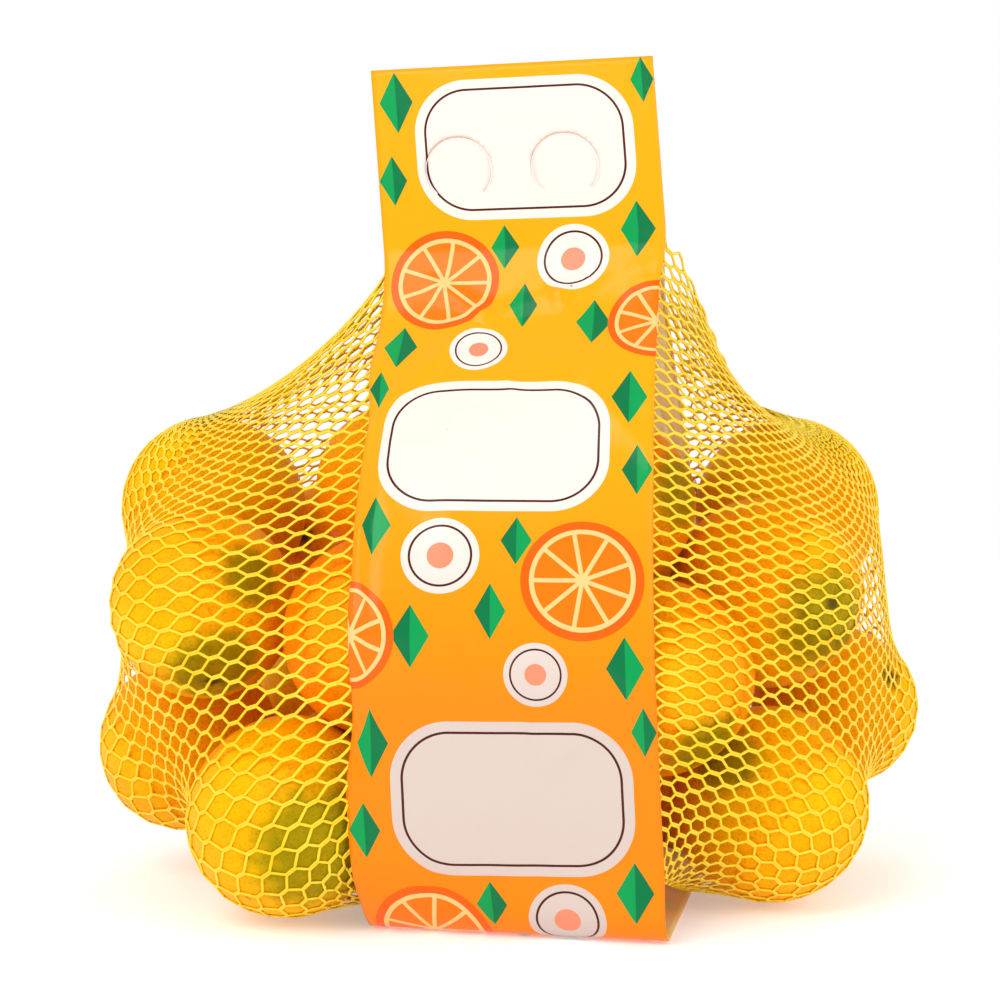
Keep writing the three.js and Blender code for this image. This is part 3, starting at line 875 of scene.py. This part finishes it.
def make_film(surface, materials):
    """The printed band with both its faces, the slits of the thumb flaps cut through."""
    grid, across, run, header_rows = surface
    normals = grid_normals(grid)
    rows, columns = grid.shape[:2]
    flat, triangles, centres = header_cut(list(across), list(run[:header_rows + 1]))
    total = run[-1]

    points, faces, flats, keys = [], [], [], {}

    def point(x, depth, place, normal):
        """The number of the point at a place on the flat pattern, added where it isn't there."""
        key = (round(x, 3), round(depth, 3))
        if key not in keys:
            keys[key] = len(points)
            points.append((place, normal))
            flats.append((x, depth))
        return keys[key]

    def header_point(x, depth, back):
        """A header point, moved out where a thumb flap stands a little ajar."""
        row = depth / run[header_rows] * header_rows
        line = grid[::-1] if back else grid
        i, j = min(int(row), header_rows - 1), np.searchsorted(across, x) - 1
        j = min(max(j, 0), columns - 2)
        a, b = row - i, (x - across[j]) / (across[j + 1] - across[j])
        place = ((line[i, j] * (1 - b) + line[i, j + 1] * b) * (1 - a)
                 + (line[i + 1, j] * (1 - b) + line[i + 1, j + 1] * b) * a)
        for cx, cy in centres:
            if math.hypot(x - cx, depth - cy) < FLAP_RADIUS:
                above = max(0, FLAP_RADIUS * FLAP_HINGE + cy - depth)
                place = place + np.array([0, -math.tan(FLAP_AJAR) * above, 0])
        outward = np.array([0, 1.0 if back else -1.0, 0])
        return point(x, total - depth if back else depth, place, outward)

    for back in (False, True):
        for face in triangles:
            corners = [header_point(*flat[k], back) for k in face]
            faces.append(corners[::-1] if back else corners)
    for i in range(header_rows, rows - 1 - header_rows):
        for j in range(columns - 1):
            corners = [point(across[b], run[a], grid[a, b], normals[a, b])
                       for a, b in ((i, j), (i + 1, j), (i + 1, j + 1), (i, j + 1))]
            faces.append(corners)

    outer = np.array([place for place, _ in points])
    outward = np.array([normal for _, normal in points])
    facing = [np.cross(outer[f[1]] - outer[f[0]], outer[f[2]] - outer[f[0]]) @ outward[f[0]]
              for f in faces]
    faces = [face if out > 0 else face[::-1] for face, out in zip(faces, facing)]
    inner = outer - outward * FILM_THICKNESS
    count = len(outer)
    sides = dict.fromkeys((a, b) for face in faces for a, b in zip(face, face[1:] + face[:1]))
    rim = [(b, a, a + count, b + count) for a, b in sides if (b, a) not in sides]
    back_faces = [[k + count for k in face[::-1]] for face in faces]
    every = [tuple(face) for face in faces] + [tuple(f) for f in back_faces] + rim
    piece = make_piece("film_wrap", np.vstack([outer, inner]), every, materials)
    slots = [0] * len(faces) + [1] * len(back_faces) + [0] * len(rim)
    piece.data.polygons.foreach_set("material_index", slots)
    lay_out_film(piece, np.array(flats * 2), every, np.array(slots) == 1, total)
    return piece


# ---------------------------------------------------------------- netting
def push_out(points, oranges, room):
    """Moves points that are inside a fruit, or nearer than the room asked for, out of it."""
    for orange in oranges:
        apart = points - orange.centre
        length = np.linalg.norm(apart, axis=-1)
        near = length < orange.long + room + UNEVEN_ROOM
        if not near.any():
            continue
        directions = unit(apart[near])
        least = orange.peel(directions) + room
        points[near] = orange.centre + directions * np.maximum(length[near], least)[:, None]
    points[..., 2] = np.maximum(points[..., 2], YARN_THICKNESS / 2 + GROUND_ROOM)
    return points


def along_line(line, shares):
    """Points at shares of a line's length."""
    run = run_along(line)
    return np.stack([np.interp(np.asarray(shares) * run[-1], run, line[:, n])
                     for n in range(3)], axis=1)


def swing_clear(points, middle, side, oranges):
    """Moves points level and outward from the film's edge until no fruit is outside them."""
    origin = np.broadcast_to(middle[None], points.shape).copy()
    origin[..., 0] = lean(points[..., 2]) + side * FILM_WIDTH / 2
    origin[..., 2] = points[..., 2]
    length = np.linalg.norm(points - origin, axis=-1)
    direction = unit(points - origin)
    for orange in oranges:
        met, along, out = far_side(orange, START_ROOM, origin, direction)
        length = np.where(met & (along > 0), np.maximum(length, out), length)
    return origin + direction * length[..., None]


def half_joints(points):
    """Half of each joint along its row, shorter where the netting is bunched up."""
    row = np.zeros_like(points)
    row[1:-1] = points[2:] - points[:-2]
    row[0] = 2 * (points[1] - points[0])
    row[-1] = 2 * (points[-1] - points[-2])
    length = np.linalg.norm(row, axis=-1, keepdims=True)
    return unit(row) * np.minimum(JOINT / 2, length * BUNCHED_JOINT)


def stretch_net(side, surface, oranges):
    """Joints of one end's netting, stretched over the fruit between the film's two edges.

    The netting is a flat panel: its sides run down the film's front and back edges, its bottom is
    gathered along the film's edge under the load, and its top is folded in half and sewn. The
    grid's first index runs round the bag, the second down it. There is a joint wherever their sum
    is even, so each joint has four neighbours."""
    grid, across, _, header_rows = surface
    normals = grid_normals(grid)
    column = int(np.argmin(np.abs(across - side * (FILM_WIDTH / 2 - EDGE_WELD))))
    top = header_rows - HEADER_LAP[side]
    edge = (grid - normals * (FILM_THICKNESS + WELD_DEPTH))[top:-top, column]
    low = np.where(edge[:, 2] < NET_FOOT[side])[0]
    v = np.linspace(0, 1, 2 * ROWS[side] + 1)
    front = along_line(edge[:low[0] + 1], v)
    back = along_line(edge[low[-1]:][::-1], v)
    flat = edge[(edge[:, 2] < BASE_LEVEL) & (edge[:, 1] > NET_BASE[0]) & (edge[:, 1] < NET_BASE[1])]
    base = along_line(np.vstack([front[-1:], flat, back[-1:]]),
                      np.linspace(0, 1, COLUMNS[side] + 1))

    middle = (front + back) / 2
    fold = along_line(np.array(FOLDS[side], float), v)
    centre = COLUMNS[side] // 2
    swing = np.pi * np.linspace(0, 1, COLUMNS[side] + 1)
    cosine = np.sign(np.cos(swing)) * np.abs(np.cos(swing)) ** START_SHAPE[0]
    sine = np.sin(swing) ** START_SHAPE[1]
    points = (middle[None] + cosine[:, None, None] * ((front - back) / 2)[None]
              + sine[:, None, None] * (fold - middle)[None])
    points = swing_clear(points, middle, side, oranges)

    share = 1 - np.abs(np.arange(COLUMNS[side] + 1) - centre) / centre
    bunch = np.array(CORNER_HOLD[side])

    def pin():
        """Puts the joints that are welded, sewn or bunched up where they are held."""
        points[:, 0] = (points[:, 0] + points[::-1, 0]) / 2
        corner = points[centre - 1:centre + 2, :len(bunch)]
        corner += bunch[:, None] * (fold[0] - corner)
        lead = front[0] + (side * SEAM_LEAD[side], 0, 0)
        spread = np.minimum(share * SEAM_SPREAD[side], SEAM_TAIL[0] + SEAM_TAIL[1] * share)
        top_line = along_line(np.array([front[0], lead, fold[0]]), spread)
        points[:, 0] += TOP_HOLD[side] * (top_line - points[:, 0])
        points[:, -1] = base
        points[0] = front
        points[-1] = back

    def hollow_neck():
        """Draws the netting over the fruit's shoulders in to the neck's hollow line."""
        heights, reach = np.array(NECK_LINE[side]).T
        across = side * ((points - (*VIEW_AXIS, 0)) @ ACROSS)
        limit = np.interp(points[..., 2], heights, reach, left=np.inf)
        points[...] -= (NECK_PULL * side * np.maximum(across - limit, 0))[..., None] * ACROSS

    near, far = slice(None, -1), slice(1, None)
    diagonals = (((near, near), (far, far)), ((near, far), (far, near)))
    pin()
    room = YARN_THICKNESS / 2 - SINK + JOINT_ROOM
    for step in range(NET_STEPS):
        pull = PULL_START + (PULL_END - PULL_START) * min(1, step / (PULL_EASE * NET_STEPS))
        mean = points.copy()
        mean[1:-1, 1:-1] = (points[:-2, :-2] + points[2:, 2:] + points[:-2, 2:]
                            + points[2:, :-2]) / 4
        upright = (points[1:-1, :-4] + points[1:-1, 4:]) / 2
        mean[1:-1, 2:-2] += UPRIGHT_PULL[side] * (upright - mean[1:-1, 2:-2])
        mean[1:-1, 0] = (points[:-2, 1] + points[2:, 1]) / 2
        along = (points[:-4, 0] + points[4:, 0]) / 2
        mean[2:-2, 0] += SEAM_PULL[side] * (along - mean[2:-2, 0])
        points += pull * (mean - points)
        row = half_joints(points)
        change = np.zeros_like(points)
        for start, end in diagonals:
            gap = (points[end] - row[end]) - (points[start] + row[start])
            length = np.linalg.norm(gap, axis=-1, keepdims=True)
            over = np.where(length > STRAND, STRAND_PULL, SLACK_PUSH) * (length - STRAND)
            move = gap / np.maximum(length, 1e-6) * over / 2
            change[start] += move
            change[end] -= move
        points += change * STRAND_EASE
        hollow_neck()
        push_out(points, oranges, room)
        pin()
    return points


def yarn_paths(points, side):
    """Each yarn's centre line with the netting's outward direction, joint to joint."""
    columns, levels = points.shape[:2]
    row = half_joints(points)
    drop = np.zeros_like(points)
    drop[:, 1:-1] = points[:, 2:] - points[:, :-2]
    drop[:, 0] = points[:, 1] - points[:, 0]
    drop[:, -1] = points[:, -1] - points[:, -2]
    drop = unit(drop)
    outward = unit(np.cross(drop, row)) * side * -1
    lines = []
    for level in range(levels - 1):
        path, normal = [], []
        for c in range(columns):
            at = level if (c + level) % 2 == 0 else level + 1
            sideways = YARN_APART if at == level else -YARN_APART
            middle = points[c, at] + drop[c, at] * sideways
            for end in (-1, 1):
                if (c == 0 and end < 0) or (c == columns - 1 and end > 0):
                    continue
                path.append(middle + row[c, at] * end)
                normal.append(outward[c, at])
        lines.append((np.array(path), np.array(normal)))
    return lines


def rounded(path, normal):
    """A yarn's line with smooth bends and with points added in its strands."""
    before = np.vstack([2 * path[:1] - path[1:2], path[:-1]])
    after = np.vstack([path[1:], 2 * path[-1:] - path[-2:-1]])
    lean_to = (after - before) / 2
    length = np.linalg.norm(after - path, axis=1, keepdims=True)
    short = np.minimum(length, np.linalg.norm(path - before, axis=1, keepdims=True))
    lean_to = unit(lean_to) * np.minimum(np.linalg.norm(lean_to, axis=1, keepdims=True),
                                         short * BEND_REACH)
    out, normals = [path[0]], [normal[0]]
    for n in range(len(path) - 1):
        steps = STRAND_STEPS if n % 2 == 0 else 1
        for k in range(1, steps + 1):
            t = k / steps
            out.append(bend(t, path[n], lean_to[n], path[n + 1], lean_to[n + 1]))
            normals.append(normal[n] * (1 - t) + normal[n + 1] * t)
    return np.array(out), unit(np.array(normals))


def make_net(name, points, side, oranges, material):
    """All the yarns of one end as flat-sided tubes in one piece."""
    angles = np.linspace(0, 2 * np.pi, YARN_SIDES, endpoint=False)
    vertices, faces, along, maps = [], [], [], []
    first = 0
    lines = yarn_paths(points, side)
    for number, (path, normal) in enumerate(lines):
        path = push_out(path, oranges, YARN_THICKNESS / 2 - SINK)
        path, normal = rounded(path, normal)
        tangent = unit(np.gradient(path, axis=0))
        across = unit(np.cross(tangent, normal))
        out = np.cross(across, tangent)
        ring = (path[:, None]
                + across[:, None] * (np.cos(angles) * YARN_WIDTH / 2)[None, :, None]
                + out[:, None] * (np.sin(angles) * YARN_THICKNESS / 2)[None, :, None])
        vertices.append(ring.reshape(-1, 3))
        run = run_along(path)
        along.append(np.repeat(run, YARN_SIDES))
        count = len(path)
        i = np.arange(count - 1)[:, None]
        j = np.arange(YARN_SIDES)[None]
        k = (j + 1) % YARN_SIDES
        quads = np.stack([i * YARN_SIDES + j, i * YARN_SIDES + k, (i + 1) * YARN_SIDES + k,
                          (i + 1) * YARN_SIDES + j], axis=-1).reshape(-1, 4) + first
        faces.append(quads)
        low = np.stack([j, j + 1, j + 1, j], -1) / YARN_SIDES
        low = (number + inset(low, YARN_MARGIN)) / len(lines)
        low = np.broadcast_to(low, (count - 1, YARN_SIDES, 4))
        far = run / run[-1]
        span = np.stack([far[:-1], far[:-1], far[1:], far[1:]], -1)[:, None]
        span = np.broadcast_to(span, (count - 1, YARN_SIDES, 4))
        maps.append(np.stack([inset(span, SHEET_MARGIN), low], -1).reshape(-1, 2))
        first += count * YARN_SIDES
    piece = make_piece(name, np.vstack(vertices), np.vstack(faces).tolist(), [material])
    set_attribute(piece, "along", np.concatenate(along))
    set_uv(piece, "OFBake", np.vstack(maps))
    return piece


# ---------------------------------------------------------------- assembly
peel = orange_peel()
yarn = knitted_polythene()
centres, radii = settle(SHOWN_ORANGES, HIDDEN_ORANGES)
oranges = [Orange(n, centre, radius) for n, (centre, radius) in enumerate(zip(centres, radii))]
surface = film_surface(oranges)

pieces = []
for number, orange in enumerate(oranges):
    piece = make_orange(number, orange, peel)
    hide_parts("net_bag")
    pieces.append(piece)
for name, side in (("netting_left", -1), ("netting_right", 1)):
    piece = make_net(name, stretch_net(side, surface, oranges), side, oranges, yarn)
    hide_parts("net_bag")
    pieces.append(piece)
film_length = surface[2][-1]
film = make_film(surface, [printed_film(film_length), film_inside()])
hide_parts("film_band")
pieces.append(film)
for piece in pieces:
    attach(piece, "root")


# ---------------------------------------------------------------- floor, light and camera
def make_floor():
    """A wide white table top."""
    corners = [(x * TABLE_HALF, y * TABLE_HALF, 0) for x, y in ((-1, -1), (1, -1), (1, 1), (-1, 1))]
    floor = make_piece("table_top", corners, [(0, 1, 2, 3)], [studio_table()], smooth=False)


def add_softbox(name, place, size, power):
    """A square area light that faces the load, in millimetres and watts."""
    light = bpy.data.lights.new(name, "AREA")
    light.energy = power
    light.size = size * MM
    lamp = bpy.data.objects.new(name, light)
    lamp.location = Vector(place) * MM
    aim = (Vector(LOAD_MIDDLE) - Vector(place)).to_track_quat("-Z", "Y")
    lamp.rotation_euler = aim.to_euler()
    bpy.context.scene.collection.objects.link(lamp)


def make_world():
    """Soft white light from all sides, in front of a backdrop that is pure white."""
    world = bpy.data.worlds.new("white_studio")
    world.use_nodes = True
    tree = world.node_tree
    tree.nodes.clear()
    seen = add(tree, "LightPath", {}).outputs["Is Camera Ray"]
    strength = add(tree, "MapRange", {"Value": seen, "To Min": ROOM_LIGHT, "To Max": 1.0})
    backdrop = add(tree, "Background", {"Color": (1, 1, 1, 1), "Strength": strength})
    add(tree, "OutputWorld", {"Surface": backdrop})
    bpy.context.scene.world = world


make_floor()
for name, softbox in SOFTBOXES.items():
    add_softbox(name, *softbox)
make_world()
bpy.context.scene.view_settings.view_transform = "Standard"

camera_data = bpy.data.cameras.new("camera")
camera_data.lens = LENS
camera_data.sensor_width = SENSOR_WIDTH
camera = bpy.data.objects.new("camera", camera_data)
camera.location = Vector((VIEW_AXIS[0] + VIEW_DISTANCE * math.sin(VIEW_TURN),
                          VIEW_AXIS[1] - VIEW_DISTANCE * math.cos(VIEW_TURN),
                          VIEW_HEIGHT)) * MM
camera.rotation_euler = (math.radians(90), 0, VIEW_TURN)
bpy.context.scene.collection.objects.link(camera)
bpy.context.scene.camera = camera
